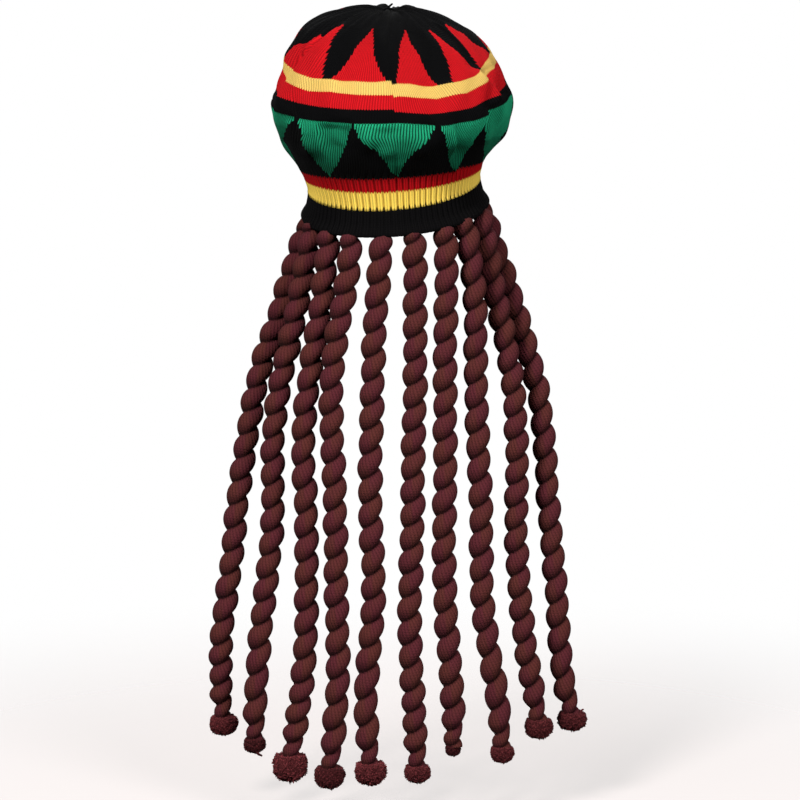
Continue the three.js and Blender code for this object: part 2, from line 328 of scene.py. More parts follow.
def crease_depth(degrees, at):
    """How far the scene's own creases, waves, undercut and puckers move the cloth in."""
    depth = np.zeros(np.broadcast(degrees, at).shape)
    for rings, places, side, lip, tuck, width in CREASES:
        away = turned(degrees - np.interp(at, rings, places)) * side / width
        inside = np.maximum(away, 0)
        lifted = lip * np.exp(-np.abs(away) * np.where(away > 0, LIP_FALL, 1))
        depth += plateau(at, *rings[:2], *rings[-2:]) * (tuck * inside * np.exp(1 - inside) - lifted)
    for deep, turns, climb, start in WAVES:
        wave = np.cos(2 * np.pi * (degrees * turns / 360 + at * climb + start))
        depth += deep * wave * plateau(at, *WAVE_RINGS)
    depth += UNDERCUT * plateau(at, *UNDERCUT_RINGS) * np.exp(-((degrees / UNDERCUT_WIDE) ** 4))
    for deep, turns in PUCKERS:
        depth += deep * plateau(at, *PUCKER_RINGS) * np.cos(np.radians(degrees * turns) + turns)
    return depth


def cap_point(degrees, at, inward, creased=False):
    """Points of the cap's cloth, moved inward from its outer face by a depth."""
    above = np.minimum(at + SLOPE_STEP, GATHER)
    rise = ring_value(UP, above) - ring_value(UP, at - SLOPE_STEP)
    spread = ring_value(WIDE, above) - ring_value(WIDE, at - SLOPE_STEP)
    slope = np.hypot(rise, spread)
    level = smoothstep(at, LEVEL_FROM, LEVEL_TO)
    fold = fold_depth(degrees, at) + (crease_depth(degrees, at) if creased else 0)
    side = lerp(1, rise / slope, level) * inward + fold * rise / slope
    down = (-spread / slope) * level * (inward + fold)
    turn = np.radians(degrees)
    deep = np.where(np.cos(turn) > 0, ring_value(BACK, at), ring_value(FRONT, at)) - side
    across = (ring_value(WIDE, at) - side) * np.sin(turn)
    along = -deep * np.cos(turn)
    tilt = np.radians(ring_value(TILT, at))
    roll = np.radians(ring_value(ROLL, at))
    return np.stack([
        ring_value(ACROSS, at) + across * np.cos(roll),
        ring_value(ALONG, at) + along * np.cos(tilt),
        ring_value(UP, at) - down + along * np.sin(tilt) + across * np.sin(roll),
    ], -1)


def wall_at(at):
    above = lerp(RIB_WALL, BAG_WALL, smoothstep(at, CUFF_TOP, THIN_FROM))
    return np.where(at < CUFF_TOP, lerp(CUFF_WALL, RIB_WALL, at / CUFF_TOP), above)


# The knitting: 300 wales round, in ribs of two knit wales and one purl wale, and ten repeats of the
# pattern. The courses are counted from ring to ring, from the top of the cuff up
WALES = 300
REPEAT = 30
RIB = 3
PER_WALE = 2
COLUMNS = WALES * PER_WALE
COLUMN = np.arange(COLUMNS)
COURSES = [6, 4, 8, 8, 8, 8, 7, 7, 6, 12, 12, 14, 10]
COURSE_MARKS = np.concatenate([[0], np.cumsum(COURSES)])
LAST_COURSE = COURSE_MARKS[-1]

# The ribbing by column, two columns to a wale, where two knit wales stand up and the purl wale lies
# folded back between them: height over its middle, place in wales, how far its lowest course hangs
# below its ring, and how much light is left
RIB_COLUMNS = RIB * PER_WALE
RIB_RELIEF = np.array([-0.5, 0.85, 0.3, 0.85, -0.5, -1.5])
RIB_PLACE = np.array([0, 0.62, 1.22, 1.82, 2.42, 2.71])
RIB_TEETH = np.array([0, -0.09, -0.06, -0.09, 0, 0])
RIB_SHADE = np.array([0.9, 1, 0.85, 1, 0.9, 0.3])
FIRST_PURL = 4
# The height of plain knitting, between the wales and on them
PLAIN_RELIEF = np.array([-0.45, 0.35])

# The ribs' yarns are painted copies of the stripes' yarns: the red rib is darkened with painted shade from
# the bag overhanging it, and the yellow rib is lighter with painted light and more saturated with painted
# shade between its ribs
YELLOW_RIB, SHADED_RED_RIB, BLACK, GREEN, RED, YELLOW = range(6)
YARNS = linear([
    (254, 218, 95), (172, 10, 18), (4, 4, 5), (29, 150, 107), (193, 18, 26), (228, 189, 101),
])
# How strongly each yarn takes the painted shade in the gaps between the wales and the painted highlight on
# them
CONTRAST = np.array([0.35, 0.5, 0.5, 1.3, 0.5, 0.4])
# How much light is left in the bag's underside, by ring, and how the shade between the ribs is tinted
UNDERSIDE = ([2.9, 3.2, 4.6, 6.2, 7], [1, 0.48, 0.52, 0.88, 1.03])
SHADE_TINT = (0.8, 1.0, 1.3)

# How the slouched cloth drags the wales round the cap, at some of its rings: wales, and how many degrees
# each of them is moved
DRAG = {
    3: ((-135, -105, -75, -45, -30, -15, 0, 15, 30, 45, 75, 105, 135),
        (0, -2, -4, -6, -4.5, -1.5, 3.2, 3.5, 4.4, 3.5, 2, 1, 0)),
    4: ((-135, -105, -75, -45, -35, -25, -5, 5, 24, 34, 45, 75, 105, 135),
        (0, -2, -6, -8, -5.8, -1.9, 4, 0.8, 4.5, 2.3, 0, -2, -2, 0)),
    5: ((-135, -105, -75, -60, -51, -45, -39, -22, -9, 9, 22, 39, 51, 75, 105, 135),
        (0, -2, -8, -14, -13.5, -8, -1.5, -0.6, 2.2, 1.2, 3.5, -3, -4.9, -8, -5, -1)),
    6: ((-135, -105, -75, -48.6, -41.5, -18.3, -11.4, 11.1, 18.5, 41.4, 48.5, 58, 80, 105, 135),
        (1, 2, 0, -2.6, 4.5, 0, -1.9, 4.1, 4, -3.1, -4.5, 2, -4, -7, -2)),
    7: ((-135, -105, -75, -46, -44, -16, -14, 13.5, 16.6, 44, 46, 56, 80, 105, 135),
        (2, 6, 7, 3.7, 5.9, 1.7, 0.3, 4.3, 4, 0.5, -0.5, 6, -4, -8, -3)),
    10: ((-135, -105, -75, -57, -45, -33, -27, -15, -3, 3.5,
          15, 27, 32.6, 45, 57.6, 63.6, 75, 83, 95, 115, 140),
         (-6, -15, -21, -20.5, -6.5, 1.7, 0.5, 1, 2.5, 0.7,
          -3, -6.3, -2.7, -4.5, -6.5, -13, -17, -20, -17, -9, 0)),
    10.7: ((-135, -105, -75, -53.3, -37, -23.6, -6.4, 6.4, 23.6, 36.7, 53.3, 66.7, 83.3, 105, 135),
           (-9, -21, -30, -15, 4.3, 3.8, 0.7, -1.7, -6.6, -6.2, -10, -19.8, -23, -14, -4)),
    11: ((-135, -105, -75, -52, -38, -22, -8, 8, 22, 38, 52, 68, 82, 105, 135),
         (-11, -25, -35, -3, 5.2, 3.9, 0.3, -3.1, -6.4, -8.3, -12.8, -21.6, -22.8, -12, -4)),
    11.5: ((-135, -105, -75, -49, -41, -19, -11, 11, 19, 41, 49, 71, 79, 105, 135),
           (-12, -27, -40, 2.6, 5.9, 3.2, 2.6, -3.8, -6.2, -10.4, -13.2, -25, -17, -12, -4)),
    12: ((-135, -105, -75, -45, -15, 15, 45, 75, 105, 135),
         (-12, -28, -42, 7.5, 3.4, -2, -12, -22, -12, -4)),
    13: ((-135, -75, -15, 45, 105), (-11, -36, 2, -10, -8)),
}

# How far the courses sag or climb across the slouched cloth, in rings: degrees from the back, and a row
# for each of four rings, between two more where there is no sag
SAG_AT = (-110, -85, -70, -60, -45, -30, -15, 0, 5, 11, 19, 24, 34, 41, 51, 57, 64, 70, 85, 110)
SAG = {
    7: (0, 0, -.04, -.1, -.15, -.12, -.08, -.04, -.05, -.15,
        -.32, -.38, -.34, -.34, -.2, -.05, 0, 0, .2, 0),
    8: (0, -.08, -.08, -.08, -.08, -.1, -.08, -.08, -.08, -.22,
        -.42, -.48, -.52, -.52, -.3, -.28, -.32, -.2, 0, 0),
    9: (0, .2, -.1, -.12, -.2, 0, 0, 0, .1, -.06,
        -.26, -.44, -.41, -.48, -.28, -.2, .1, .4, .4, 0),
    10: (0, -.2, -.2, -.24, -.24, -.06, -.04, .04, .08, .02,
         -.28, -.42, -.36, -.45, -.4, -.24, -.04, .1, .16, 0),
}
SAG_FROM, SAG_TO = 5, 12

# The pattern's half widths in wales, by ring: green triangles hang from their band, and red triangles
# stand on theirs with black spikes between them
GREEN_WIDTHS = ([3.05, 3.5, 4, 4.5, 5, 5.6, 6.2, 6.7, 7], [0, 2.3, 5, 7, 8.7, 10.4, 12, 13.9, 14.3])
RED_WIDTHS = ([10, 10.5, 11, 11.5, 12, 12.15], [12.6, 9.6, 6.8, 4.0, 1.2, 0])


def ring_at(course):
    """The ring number at which a course lies."""
    return np.interp(course, COURSE_MARKS, np.arange(len(COURSE_MARKS)) + CUFF_TOP)


def wale_angle(wale, at):
    """Where a wale lies round the cap, in degrees from the back."""
    rings = list(DRAG)
    moved = np.zeros(np.broadcast(wale, at).shape)
    for k, (wales, degrees) in enumerate(DRAG.values()):
        weight = np.interp(at, rings, np.arange(len(rings)) == k)
        moved = moved + weight * np.interp(wale, wales, degrees, period=WALES)
    return turned(wale * 360 / WALES) + moved


def sag(degrees, at):
    """How far a course lies above its own ring."""
    rings = [SAG_FROM, *SAG, SAG_TO]
    total = np.zeros(np.broadcast(degrees, at).shape)
    for k, row in enumerate(SAG.values(), 1):
        weight = np.interp(at, rings, np.arange(len(rings)) == k)
        total = total + weight * np.interp(degrees, SAG_AT, row)
    return total


def rib_wale(column):
    """Where each column lies in the ribbing, in wales."""
    return column // RIB_COLUMNS * RIB + RIB_PLACE[column % RIB_COLUMNS]


def chart(wale, at):
    """The yarn of each stitch, by its wale and ring number."""
    from_green = np.abs((wale + 0.5 + REPEAT / 2) % REPEAT - REPEAT / 2)
    from_red = REPEAT / 2 - from_green
    green = from_green < np.interp(at, *GREEN_WIDTHS)
    red = from_red < np.interp(at, *RED_WIDTHS)
    bands = {
        YELLOW_RIB: at < RIB_TOP,
        SHADED_RED_RIB: (at >= RIB_TOP) & (at < RED_TOP),
        GREEN: (at >= RED_TOP) & (at < GREEN_TOP) & green,
        RED: ((at >= RED_BASE) & (at < YELLOW_BASE)) | ((at >= YELLOW_TOP) & red),
        YELLOW: (at >= YELLOW_BASE) & (at < YELLOW_TOP),
    }
    return np.select(list(bands.values()), list(bands), BLACK)


# Knit materials: the yarn's surface, the heights of the legs and the fuzz next to the wale's, then how much
# wale and leg paint shade and highlight on the colour and how much patches vary it, and the range that this
# painted shade is brought from and into
ROUGHNESS = 0.95
SHEEN, SHEEN_ROUGHNESS = 0.012, 0.6
GLOSS = 0.06
BUMP_STRENGTH = 0.7
LEG_HEIGHT, FUZZ_HEIGHT = 0.25, 0.5
FUZZ, PATCHES = {"Scale": 900, "Detail": 3}, {"Scale": 420, "Detail": 4}
WALE_SHADE, LEG_SHADE, PATCH_SHADE = 1.3, 0.2, 1.5
SHADE_FROM, SHADE_TO = (-0.95, 1.0), (0.05, 2.0)


def add_node(tree, kind, inputs, **settings):
    """A node with its settings, and with its inputs set to a value or linked to a socket."""
    node = tree.nodes.new(kind)
    for name, value in settings.items():
        setattr(node, name, value)
    for name, value in inputs.items():
        if isinstance(value, bpy.types.NodeSocket):
            tree.links.new(value, node.inputs[name])
        else:
            node.inputs[name].default_value = value
    return node


def math_node(tree, operation, *values):
    return add_node(tree, "ShaderNodeMath", dict(enumerate(values)), operation=operation).outputs[0]


def map_range(tree, value, before, after, **settings):
    """Brings a value from one range into another."""
    inputs = {
        "Value": value, "From Min": before[0], "From Max": before[1], "To Min": after[0], "To Max": after[1],
    }
    return add_node(tree, "ShaderNodeMapRange", inputs, **settings).outputs[0]


def stitch_shape(tree):
    """Stocking stitch from the "stitch" map, which counts wales across and courses up: each wale is a
    ridge, and each stitch two legs that climb away from the wale's middle."""
    place = add_node(tree, "ShaderNodeUVMap", {}, uv_map="stitch").outputs[0]
    across, up = add_node(tree, "ShaderNodeSeparateXYZ", {0: place}).outputs[:2]
    side = math_node(tree, "ABSOLUTE", math_node(tree, "SUBTRACT", math_node(tree, "FRACT", across), 0.5))
    leg = math_node(tree, "SUBTRACT", up, side)
    leg = math_node(tree, "SINE", math_node(tree, "MULTIPLY", leg, 2 * math.pi))
    wale = math_node(tree, "COSINE", math_node(tree, "MULTIPLY", side, math.pi))
    return leg, wale


def stitch_bump(tree, leg, wale, depth):
    """The surface's normal, with the stitches and a little fuzz standing out."""
    height = math_node(tree, "ADD", math_node(tree, "MULTIPLY", leg, LEG_HEIGHT), wale)
    noise = add_node(tree, "ShaderNodeTexNoise", FUZZ).outputs[0]
    height = math_node(tree, "ADD", height, math_node(tree, "MULTIPLY", noise, FUZZ_HEIGHT))
    bump = {"Strength": BUMP_STRENGTH, "Distance": depth * MM, "Height": height}
    return add_node(tree, "ShaderNodeBump", bump).outputs[0]


def stitch_colour(tree, leg, wale, colour, contrast):
    """The yarn's colour with painted shade between the wales and painted highlight on them, a little patchy,
    as strongly as its contrast says.
    """
    noise = add_node(tree, "ShaderNodeTexNoise", PATCHES).outputs[0]
    patch = math_node(tree, "MULTIPLY", math_node(tree, "SUBTRACT", noise, 0.5), PATCH_SHADE)
    ridge = math_node(tree, "MULTIPLY", wale, WALE_SHADE)
    stitch = math_node(tree, "ADD", ridge, math_node(tree, "MULTIPLY", leg, LEG_SHADE))
    stitch = math_node(tree, "ADD", math_node(tree, "SUBTRACT", stitch, 1.0), patch)
    shade = map_range(tree, math_node(tree, "MULTIPLY", stitch, contrast), SHADE_FROM, SHADE_TO)
    inputs = {0: 1, 6: colour, 7: shade}
    return add_node(tree, "ShaderNodeMix", inputs, data_type="RGBA", blend_type="MULTIPLY").outputs[2]


def knit_material(name, depth=0.45, colour=None, contrast=None):
    """Knitted yarn. Its colour, painted shade included, is the "yarn" attribute and its contrast that
    attribute's alpha, unless both are given."""
    material = bpy.data.materials.new(name)
    material.use_nodes = True
    tree = material.node_tree
    shader = tree.nodes["Principled BSDF"]
    shader.inputs["Roughness"].default_value = ROUGHNESS
    shader.inputs["Sheen Weight"].default_value = SHEEN
    shader.inputs["Sheen Roughness"].default_value = SHEEN_ROUGHNESS
    shader.inputs["Specular IOR Level"].default_value = GLOSS
    if colour is None:
        yarn = add_node(tree, "ShaderNodeAttribute", {}, attribute_name="yarn").outputs
        colour, contrast = yarn["Color"], yarn["Alpha"]
    else:
        colour = (*linear(colour), 1)
    leg, wale = stitch_shape(tree)
    tree.links.new(stitch_bump(tree, leg, wale, depth), shader.inputs["Normal"])
    tree.links.new(stitch_colour(tree, leg, wale, colour, contrast), shader.inputs["Base Color"])
    return material


cap_knit = knit_material("striped_knit")
black_knit = knit_material("black_knit", colour=(8, 7, 8), contrast=0.6)
lock_knit = knit_material("lock_knit", depth=0.6)
cut_yarn = knit_material("cut_yarn", depth=0.2)
# The strength of the painted shade and highlight of the stitches on the locks and on the cut yarn
LOCK_CONTRAST, CUT_CONTRAST = 0.28, 0.15
# The middle of a stitch on the map, for what has no stitches of its own
PLAIN_STITCH = 0.5

# The bag: one column of points on each wale and one between, one row for each course. Each course
# zigzags from column to column, by this share of a course, but for the first and for the last few
ZIGZAG = 0.3
ZIGZAG_COURSES = (0, 1, LAST_COURSE - 12, LAST_COURSE - 8)
# The ring number just over the cuff, the rings between which ribbing turns into plain knitting, and
# those between which the wales flatten towards the gather
BAG_START = CUFF_TOP + GAP / (RINGS["rib_top"][UP] - RINGS["cuff_top"][UP])
RIBBED_RINGS = (RED_TOP - 0.1, RED_TOP + 0.5)
RELIEF_FADE = (12.6, 13.6)
# The seam up the centre back: a groove, its width in degrees, and the courses on its right joined on
# lower, by how many courses, over how many wales and between which rings
SEAM_DEPTH = 1.4
SEAM_WIDTH = 1.3
SEAM_DROP = 1.3
SEAM_REACH = 24
SEAM_RINGS = (7, 8, 10.5, 12)
# The lowest knit stitches stand out over the cuff, and the purl stitches are black just over it
TOOTH_OUT = 0.35
TOOTH_RINGS = (1, 1.15)
BLACK_TO = CUFF_TOP + 0.1
# The inner face has every third course, and stops short of the gather
INNER_STEP = 3
INNER_STOP = 9
# The gathering yarn's knot and tail on top
KNOT = [(-13, -9, 178.5), (-9.5, -10, 181.5), (-5, -9, 182), (-1, -7, 181)]
KNOT_THICK = 3.2
TAIL = [(-8, -9, 180), (-6.5, -9.5, 182.5), (-4.8, -9.5, 184.5), (-2.4, -9, 186.5)]
TAIL_THICK = 2.8


def outer_relief(at, ribbed):
    """How far each column stands out from the bag's outer face."""
    relief = lerp(PLAIN_RELIEF[COLUMN % PER_WALE], RIB_RELIEF[COLUMN % RIB_COLUMNS], ribbed)
    relief = relief * (1 - smoothstep(at, *RELIEF_FADE))
    relief = relief - SEAM_DEPTH * np.exp(-(turned(COLUMN / PER_WALE * 360 / WALES) / SEAM_WIDTH) ** 2)
    return relief + TOOTH_OUT * (1 - smoothstep(at, *TOOTH_RINGS))


def course_loop(course, inner):
    """One course of the bag's inner or outer face, as a loop of points."""
    wale = COLUMN / PER_WALE
    tooth = np.where(COLUMN % PER_WALE == 0, ZIGZAG, -ZIGZAG) * plateau(course, *ZIGZAG_COURSES)
    sewn = plateau(ring_at(course), *SEAM_RINGS) * (COLUMN > 0)
    drop = SEAM_DROP * sewn * np.exp(-(wale / SEAM_REACH) ** 2)
    at = ring_at(np.clip(course + tooth - drop, 0, LAST_COURSE))
    at = np.maximum(at, BAG_START + RIB_TEETH[COLUMN % RIB_COLUMNS])
    ribbed = 1 - smoothstep(at, *RIBBED_RINGS)
    degrees = wale_angle(lerp(wale, rib_wale(COLUMN), ribbed), at)
    at = at + sag(degrees, at)
    inward = wall_at(at) if inner else -outer_relief(at, ribbed)
    return cap_point(degrees, at, inward, creased=True)


def bag_colours(middle_ring):
    """The yarn's colour, with painted shade between the ribs and under the bag, and its contrast at each
    corner of each strip between two courses.
    """
    yarn = chart(*np.meshgrid(COLUMN // PER_WALE, middle_ring))
    black_teeth = (middle_ring < BLACK_TO)[:, None] & (COLUMN % RIB_COLUMNS >= FIRST_PURL)
    yarn = np.where(black_teeth, BLACK, yarn)
    colours = np.concatenate([YARNS[yarn], CONTRAST[yarn][..., None]], -1)[:, :, None].repeat(4, 2)
    corners = np.stack([COLUMN, COLUMN + 1, COLUMN + 1, COLUMN], -1)
    ribbed = (middle_ring < RED_TOP)[:, None, None]
    light = np.where(ribbed, RIB_SHADE[corners % RIB_COLUMNS], 1)
    colours[..., :3] *= light[..., None] ** SHADE_TINT
    colours[..., :3] *= np.interp(middle_ring, *UNDERSIDE)[:, None, None, None]
    return colours.reshape(-1, 4)


def build_bag():
    inner = np.arange(0, LAST_COURSE - INNER_STOP, INNER_STEP)[::-1]
    outer = np.arange(0, LAST_COURSE)
    loops = [course_loop(course, True) for course in inner]
    loops += [course_loop(course, False) for course in outer]
    top = cap_point(np.zeros(1), np.full(1, float(GATHER)), 0)[0]
    points, faces = capped(np.concatenate(loops), COLUMNS, [top - (0, 0, BAG_WALL), top])
    for route, thick in ((KNOT, KNOT_THICK), (TAIL, TAIL_THICK)):
        points, faces = joined(points, faces, *tube(route, thick))
    bag = mesh_piece("cap_bag", points, faces, ["crown"], cap_knit)

    # Colour and stitches, and plain black on the yarn and in the fans
    courses = np.concatenate([inner, outer]).astype(float)
    half = np.where(np.arange(len(courses) - 1) < len(inner), INNER_STEP / 2, 0.5)
    colours = bag_colours(ring_at(np.minimum(courses[:-1], courses[1:]) + half))
    plain = corner_count(faces) - len(colours)
    colours = np.concatenate([colours, np.tile([*YARNS[BLACK], CONTRAST[BLACK]], (plain, 1))])
    corner_colours(bag, colours[:, :3], colours[:, 3:])
    stitches = grid_map(courses, COLUMNS, WALES).reshape(-1, 2)
    corner_stitches(bag, np.concatenate([stitches, np.full((plain, 2), PLAIN_STITCH)]))


# The cuff: ribbed, with a soft roll outward at its lower edge. Its ribs lose half their height there, and
# keep a share of it round the edge and inside
CUFF_COURSES = 11
FLARE = 3.2
FLARE_RINGS = (0.05, 0.5)
EDGE_ROUNDS = 4
EDGE_LOSS, ROUND_RIBS, INNER_RIBS = 0.5, 0.4, 0.3
INNER_LIFT = 0.02


def cuff_loop(at, inward, ribs):
    """One course of the cuff as a loop of points, at a depth and with a share of the ribs' height."""
    at = np.full(COLUMNS, at, float)
    flare = FLARE * (1 - smoothstep(at, *FLARE_RINGS))
    relief = RIB_RELIEF[COLUMN % RIB_COLUMNS] * ribs
    return cap_point(wale_angle(rib_wale(COLUMN), at), at, inward - relief - flare)


def build_cuff():
    loops = []
    for course in range(CUFF_COURSES + 1):
        ribs = 1 - EDGE_LOSS * smoothstep(course, CUFF_COURSES - 1, CUFF_COURSES)
        loops.append(cuff_loop(CUFF_TOP * (1 - course / CUFF_COURSES), 0, ribs))
    for step in range(1, EDGE_ROUNDS):
        turn = math.pi * step / EDGE_ROUNDS
        loop = cuff_loop(0, CUFF_WALL / 2 * (1 - math.cos(turn)), ROUND_RIBS)
        loop[:, 2] -= math.sin(turn) * CUFF_WALL / 2
        loops.append(loop)
    for course in range(0, CUFF_COURSES + 1, 2):
        at = min(CUFF_TOP, CUFF_TOP * course / CUFF_COURSES + INNER_LIFT)
        loops.append(cuff_loop(at, wall_at(at), -INNER_RIBS))
    loops.append(cuff_loop(CUFF_TOP, wall_at(CUFF_TOP), 0))

    # The last loop joins the first, so the knitting closes round its top as well
    rows = len(loops)
    faces = [face[::-1] for face in grid_faces(rows, COLUMNS)]
    last = COLUMN + (rows - 1) * COLUMNS
    faces += np.stack([COLUMN, np.roll(COLUMN, -1), np.roll(last, -1), last], -1).tolist()
    cuff = mesh_piece("cuff_rib", np.concatenate(loops), faces, ["cuff"], black_knit)
    # The stitches lie on their side here, so that fine rows cross the ribs
    stitches = grid_map(np.arange(rows), COLUMNS, WALES)[:, ::-1].reshape(-1, 2)
    corner_stitches(cuff, np.concatenate([stitches, np.zeros((COLUMNS * 4, 2))]))


# The locks: knitted tubes twisted into cords, hanging free under their own weight, from left to right as
# in the part's source. top and foot are heights, along is the first and last depth, across the sideways
# place at equal drops, and ball the width and height of the pompom. twist is how far the groove climbs
# in one turn, and after what share of a turn it first faces back
Lock = namedtuple("Lock", "top foot along ball twist across")
LOCKS = [
    Lock(-7, -475, (-4, -38), (27, 20), (21.9, 0.57),
         (-81, -90, -101, -111, -123, -131, -137, -142, -147, -150, -154, -159, -162, -162, -160)),
    Lock(-15, -487, (-38, -70), (21, 16), (21.4, 0.21),
         (-75, -81, -88, -95, -103, -109, -112, -112, -112, -115, -119, -123, -126, -128, -129)),
    Lock(-21, -497, (-63, -98), (33, 29), (22.0, 0.53),
         (-59, -63, -67, -73, -78, -82, -83, -81, -80, -80, -80, -81, -84, -89, -95)),
    Lock(-24, -504, (-81, -113), (28, 22), (21.5, 0.43),
         (-39, -42, -48, -54, -57, -57, -55, -54, -53, -53, -52, -51, -52, -55, -59)),
    Lock(-24, -498, (-91, -120), (30, 24), (21.6, 0.94),
         (-12, -14, -17, -19, -20, -21, -22, -22, -21, -19, -20, -23, -26, -25, -22)),
    Lock(-22, -500, (-90, -120), (24, 18), (21.0, 0.35),
         (17, 18, 18, 18, 18, 17, 16, 16, 15, 14, 13, 14, 16, 18, 20)),
    Lock(-17, -482, (-78, -112), (14, 12), (21.9, 0.64),
         (45, 46, 46, 45, 45, 45, 45, 45, 44, 44, 45, 47, 50, 52, 52)),
    Lock(-10, -489, (-60, -94), (22, 17), (22.3, 0.6),
         (62, 68, 72, 73, 73, 74, 75, 77, 78, 78, 79, 83, 89, 94, 97)),
    Lock(-2, -471, (-32, -66), (27, 21), (20.7, 0.17),
         (78, 84, 90, 97, 104, 109, 111, 112, 111, 111, 113, 116, 120, 126, 132)),
    Lock(5, -472, (-4, -34), (28, 20), (22.4, 0.85),
         (83, 90, 102, 113, 123, 132, 137, 140, 142, 145, 148, 151, 153, 157, 165)),
]
TIE_HEIGHT = 0.55
# Points round each lock, their step down it, and the knitted tube's wales and course height
TWIST_ROUND = 40
TWIST_STEP = 1.35
LOCK_WALES = 22
LOCK_COURSE = 2.4
# The twist: radius of a lobe and of the groove, how much the lobes vary, how fast they do from one to
# the next, and how square they are (1 is a sine)
LOBE, PINCH = 11.3, 5.2
LOBE_VARIES, LOBE_CHANGE = 0.04, 2.4
NOTCH_POWER = 0.5
# The groove leans a little from side to side, and hangs lower on the back than at the sides, in turns
LEAN, SAGGED = 0.02, 0.05
# The foot: a neck that hardly turns and the last lobe over it, in millimetres, and the number of lobes
# above them that stretch or shrink so that whole lobes fit
NECK, LAST_LOBE, FITTED_LOBES = 3, 14, 3
NECK_TURN = 0.2
# Locks are rounded off at the top, thinner at the foot, and the outermost two thin at the top as well
TOP_ROUND, TOP_THIN = 11, 0.5
FOOT_FROM, FOOT_TO, FOOT_THIN = -8, 4, 0.74
SIDE_LOCKS, SIDE_TAPER, SIDE_THIN = (1, 10), 24, 0.45
# Two colours that the turns change between, and the light over each turn, from groove to groove: dark in
# the groove and less and less light under the lobe. Each row goes from a light to a light between two
# shares of the turn
LOCK_COLOUR, LOCK_WARM = linear([(85, 36, 42), (86, 42, 38)])
WARM_CHANGE = 2.1
TURN_LIGHT = [(0.1, 1, 0, 0.07), (1.08, 0.75, 0.5, 0.85), (1, 0.12, 0.86, 1)]
END_SHADE = 0.3


def lock_route(lock):
    share = np.linspace(0, 1, len(lock.across))
    depth = lerp(*lock.along, smoothstep(share, 0, 1))
    return np.stack([np.array(lock.across, float), depth, lerp(lock.top, lock.foot, share)], -1)


def twist_phase(lock, far, turn):
    """How many lobes lie above each point of a lock, with the groove at whole numbers."""
    pitch, start = lock.twist
    neck = far[-1] - NECK
    knob = neck - LAST_LOBE
    lobes = np.round(knob / pitch - start)
    even = lobes - FITTED_LOBES
    marks = [0, (even + start) * pitch, knob, neck, far[-1]]
    turns = [-start, even, lobes, lobes + 1, lobes + 1 + NECK_TURN]
    share = turn / (2 * np.pi) + LEAN * np.sin(turn) - SAGGED * np.cos(2 * turn)
    return share[None] + np.interp(far, marks, turns)[:, None]


def twist_radius(number, phase, far):
    """How far each point of a lock stands from its middle line."""
    rounded = np.sqrt(1 - (1 - np.clip(far / TOP_ROUND, 0, 1)) ** 2)
    knob = far[-1] - NECK - LAST_LOBE
    foot = lerp(1, FOOT_THIN, smoothstep(far, knob + FOOT_FROM, knob + FOOT_TO))
    taper = lerp(TOP_THIN, 1, rounded) * foot
    if number in SIDE_LOCKS:
        taper *= lerp(SIDE_THIN, 1, smoothstep(far, 0, SIDE_TAPER))
    lobe = LOBE * (1 + LOBE_VARIES * np.sin(LOBE_CHANGE * np.floor(phase) + number))
    notch = np.abs(np.sin(np.pi * phase)) ** NOTCH_POWER
    return (PINCH + (lobe - PINCH) * notch) * taper[:, None]


def twist_colours(number, phase):
    """The colour of each point of a lock, a little warmer or cooler from turn to turn, with painted shade in
    each groove and under each lobe.
    """
    light = np.ones(phase.shape)
    for before, after, low, high in TURN_LIGHT:
        light *= lerp(before, after, smoothstep(phase % 1, low, high))
    warm = 0.5 + 0.5 * np.sin(phase * WARM_CHANGE + number)
    return (lerp(LOCK_COLOUR, LOCK_WARM, warm[..., None]) * light[..., None]).reshape(-1, 3)


def build_lock(number, lock):
    route = lock_route(lock)
    line, far = smooth_route(route, TWIST_STEP)
    side, back = square_to(line)
    turn = round_turns(TWIST_ROUND)
    phase = twist_phase(lock, far, turn)
    radius = twist_radius(number, phase, far)
    points = (line[:, None] + spokes(back, side, turn) * radius[..., None]).reshape(-1, 3)
    points, faces = capped(points, TWIST_ROUND, line[[0, -1]])
    name = f"{number:02d}"
    twist = mesh_piece(f"twist_{name}", points, faces, [f"lock_{name}"], lock_knit)

    # The wales of the tube wind with the twist, and the fans at its ends are plain and darkened with painted
    # shade
    stitches = grid_map(far, TWIST_ROUND, LOCK_WALES).reshape(-1, 2)
    stitches[:, 0] -= stitches[:, 1] * 2 / lock.twist[0]
    stitches[:, 1] /= LOCK_COURSE
    plain = corner_count(faces) - len(stitches)
    corner_stitches(twist, np.concatenate([stitches, np.zeros((plain, 2))]))
    quads = np.array(faces[:len(stitches) // 4])
    colours = twist_colours(number, phase)[quads].reshape(-1, 3)
    ends = np.repeat(LOCK_COLOUR[None] * END_SHADE, plain, 0)
    corner_colours(twist, np.concatenate([colours, ends]), LOCK_CONTRAST)
    return twist, route, far[-1]


# Pompoms: how shaggy each one is, from a tight felted knob to loose cut yarn, and how light
SHAG = [0.25, 0.5, 1.0, 0.35, 0.9, 0.4, 0.2, 0.15, 0.55, 0.6]
PUFF_LIGHT = [1, 0.5, 1.25, 0.7, 1.15, 0.9, 0.4, 0.9, 0.9, 0.85]
PUFF_COLOUR = linear((112, 49, 52))
# The ball under the cut ends: its grid, how much smaller it is than the pompom, its lumps, how square
# it is (1 is round), and its flat top, drawn in where it is tied
PUFF_TIERS, PUFF_ROUND = 26, 40
SHAG_ROOM, END_ROOM = 2.5, 1
COARSE_LUMPS, FINE_LUMPS = 0.06, 0.045
SQUARENESS = 0.88
DENT, DENT_FROM, DENT_TO = 0.55, 0.35, 1.4
STRETCH, RAISED = 1.15, 0.2
LOW_POLE, HIGH_POLE = -0.475, 0.36
